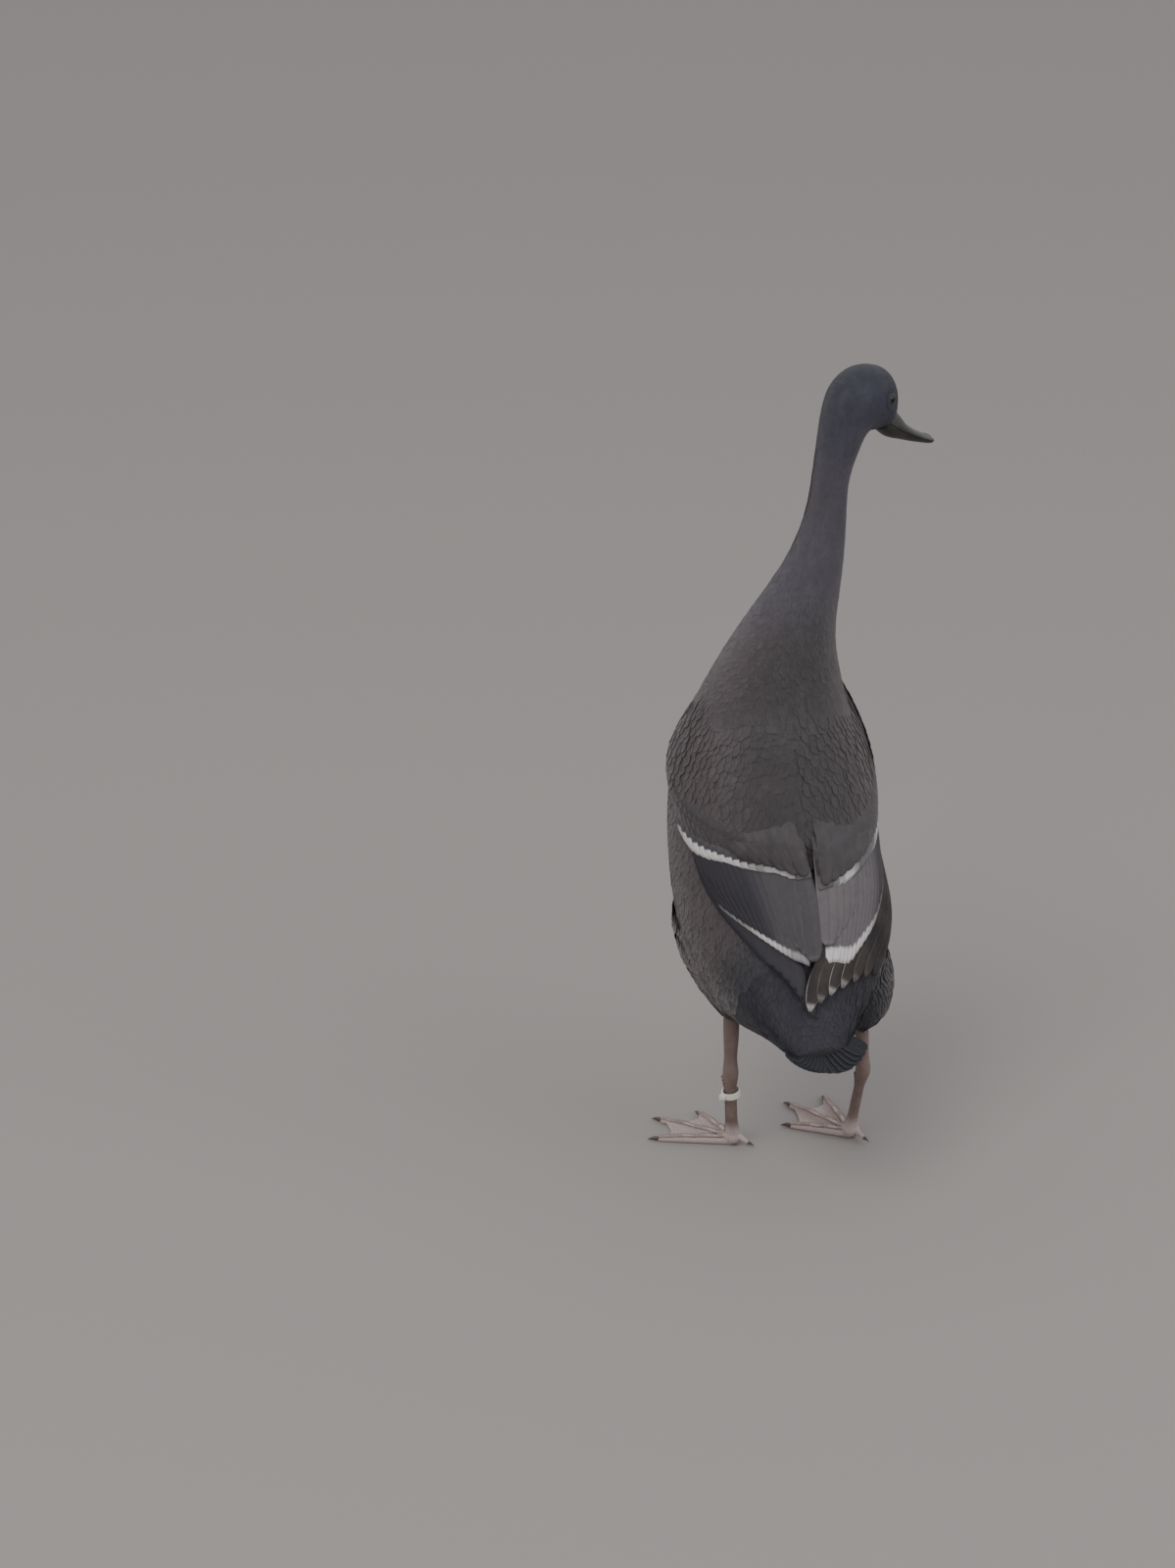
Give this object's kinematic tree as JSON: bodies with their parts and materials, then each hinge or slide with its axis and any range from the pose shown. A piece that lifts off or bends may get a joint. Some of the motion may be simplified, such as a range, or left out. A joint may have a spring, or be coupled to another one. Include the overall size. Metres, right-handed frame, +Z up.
{
  "type": "runner duck",
  "caption": "Life-size upright runner duck standing on webbed feet, dark plumage, folded wings crossed over the rump, head turned to its right and a plain band on its left leg.",
  "frame": {"origin": "middle of the whole bird's bounding box on x and y, at floor level under the feet", "axes": "+Z up along the upright body; the bird faces -Y and its left side is at +X"},
  "size_m": [0.2166, 0.1968, 0.5672],
  "materials": {
    "dark_feather": "soft charcoal plumage",
    "head_feather": "near black plumage with a green and violet sheen",
    "wing_feather": "grey-brown wing plumage",
    "black_feather": "black plumage with a slight blue-green sheen",
    "flank_feather": "brown plumage with paler edges",
    "bill_horn": "smooth olive-grey horn",
    "eye_black": "wet dark brown",
    "leg_skin": "dull brownish pink scaled skin",
    "claw_horn": "dark horn",
    "band_plastic": "off-white plastic"
  },
  "bodies": {
    "root": {"torso": "dark_feather", "neck_lower": "dark_feather", "neck_upper": "head_feather", "head": "head_feather", "eye_left": "eye_black", "eye_right": "eye_black", "bill_upper": "bill_horn", "bill_lower": "bill_horn", "wing_left": "wing_feather", "wing_right": "wing_feather", "tail": "black_feather", "thigh_left": "flank_feather", "thigh_right": "flank_feather", "shank_left": "leg_skin", "shank_right": "leg_skin", "foot_left": "leg_skin", "foot_right": "leg_skin", "claw_outer_left": "claw_horn", "claw_middle_left": "claw_horn", "claw_inner_left": "claw_horn", "claw_hind_left": "claw_horn", "claw_outer_right": "claw_horn", "claw_middle_right": "claw_horn", "claw_inner_right": "claw_horn", "claw_hind_right": "claw_horn", "leg_band": "band_plastic"}
  },
  "joints": []
}
